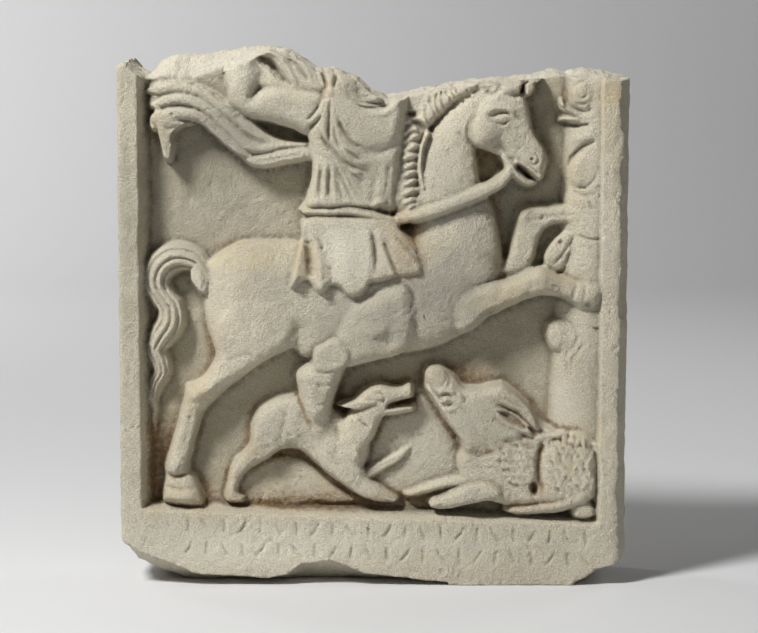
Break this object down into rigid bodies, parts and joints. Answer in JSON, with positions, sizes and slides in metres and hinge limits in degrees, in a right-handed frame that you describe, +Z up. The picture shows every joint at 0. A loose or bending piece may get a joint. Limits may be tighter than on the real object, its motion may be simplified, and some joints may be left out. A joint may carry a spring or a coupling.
{
  "type": "funerary stele",
  "caption": "Broken marble grave slab with a sunk field carved in relief: a headless horseman over a dog and a boar, beside a tree with a snake, above an inscribed ledge.",
  "frame": {"origin": "middle of the bounding box at the bottom, which is the lowest flat of the underside", "axes": "+Z up, the carved face looks along -Y, +X to the right as the viewer sees the carving, the flat back along +Y"},
  "size_m": [0.52, 0.1192, 0.548],
  "materials": {
    "marble": "weathered"
  },
  "bodies": {
    "root": {"stele": "marble"}
  },
  "joints": []
}
